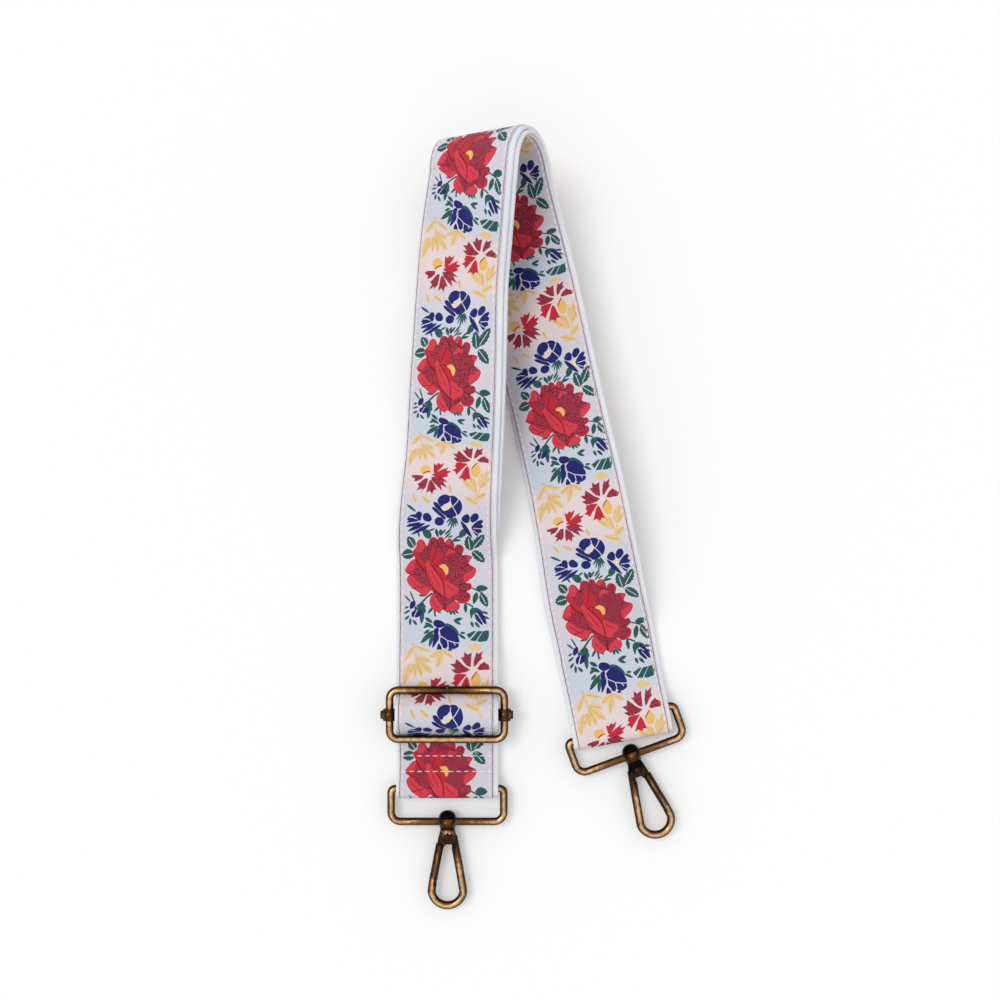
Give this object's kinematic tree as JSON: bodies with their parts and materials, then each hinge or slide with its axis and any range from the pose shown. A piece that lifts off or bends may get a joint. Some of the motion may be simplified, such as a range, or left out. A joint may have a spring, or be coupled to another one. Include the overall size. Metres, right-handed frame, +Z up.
{
  "type": "bag strap",
  "caption": "Detachable wide webbing bag strap with a woven flower ribbon, sliding adjuster, and swivel snap hooks on wire rings, lying folded.",
  "frame": {"origin": "on the table, under the middle of the part's bounding box", "axes": "+Y from the hooks to the big fold along the strap, +X across it towards the right hook, +Z up from the table"},
  "size_m": [0.1492, 0.374, 0.0589],
  "materials": {
    "webbing": "off-white ribbed cotton webbing",
    "ribbon": "woven flower ribbon on a pale ground",
    "antique_brass": "antique brass, dark in the hollows and rubbed bright on the edges",
    "spring_steel": "plain wire"
  },
  "bodies": {
    "strap": {"webbing_sewn_end": "webbing", "webbing_slider_run": "webbing", "webbing_over_fold": "webbing", "webbing_right_loop": "webbing", "webbing_inner_fold": "webbing", "webbing_inner_run": "webbing", "ribbon_sewn_end": "ribbon", "ribbon_slider_run": "ribbon", "ribbon_over_fold": "ribbon", "ribbon_right_loop": "ribbon", "ribbon_inner_fold": "ribbon", "ribbon_inner_run": "ribbon"},
    "slider": {"slider_frame": "antique_brass", "slider_bar": "antique_brass", "webbing_bar_loop": "webbing", "ribbon_bar_loop": "ribbon"},
    "left_ring_body": {"left_ring": "antique_brass"},
    "left_hook_body": {"left_hook": "antique_brass", "left_gate_pin": "antique_brass", "left_gate_spring": "spring_steel"},
    "left_gate_body": {"left_gate": "antique_brass"},
    "right_ring_body": {"right_ring": "antique_brass"},
    "right_hook_body": {"right_hook": "antique_brass", "right_gate_pin": "antique_brass", "right_gate_spring": "spring_steel"},
    "right_gate_body": {"right_gate": "antique_brass"}
  },
  "joints": [
    {"name": "slider_slide", "type": "slide", "parent": "strap", "child": "slider", "axis": [0, 1, 0], "range_m": [0, 0.04], "deforming": ["webbing_slider_run", "ribbon_slider_run", "webbing_inner_run", "ribbon_inner_run"]},
    {"name": "left_ring_swing", "type": "hinge", "parent": "strap", "child": "left_ring_body", "pos_m": [-0.04242, -0.12771, 0.00471], "axis": [-1, 0, 0], "range_deg": [-100, 100]},
    {"name": "left_hook_swivel", "type": "hinge", "parent": "left_ring_body", "child": "left_hook_body", "pos_m": [-0.04242, -0.14391, 0.00471], "axis": [0, 1, 0], "continuous": true},
    {"name": "left_gate_turn", "type": "hinge", "parent": "left_hook_body", "child": "left_gate_body", "pos_m": [-0.04242, -0.15121, 0.00471], "axis": [0, 0, 1], "range_deg": [0, 22], "stiffness_Nm_per_rad": 0.02, "springref_deg": -20.05},
    {"name": "right_ring_swing", "type": "hinge", "parent": "strap", "child": "right_ring_body", "pos_m": [0.04251, -0.09613, 0.00471], "axis": [-0.9391, -0.3437, 0], "range_deg": [-100, 100]},
    {"name": "right_hook_swivel", "type": "hinge", "parent": "right_ring_body", "child": "right_hook_body", "pos_m": [0.05059, -0.1182, 0.00471], "axis": [-0.3437, 0.9391, 0], "continuous": true},
    {"name": "right_gate_turn", "type": "hinge", "parent": "right_hook_body", "child": "right_gate_body", "pos_m": [0.05059, -0.1182, 0.00471], "axis": [0, 0, -1], "range_deg": [0, 22], "stiffness_Nm_per_rad": 0.02, "springref_deg": -20.05}
  ]
}
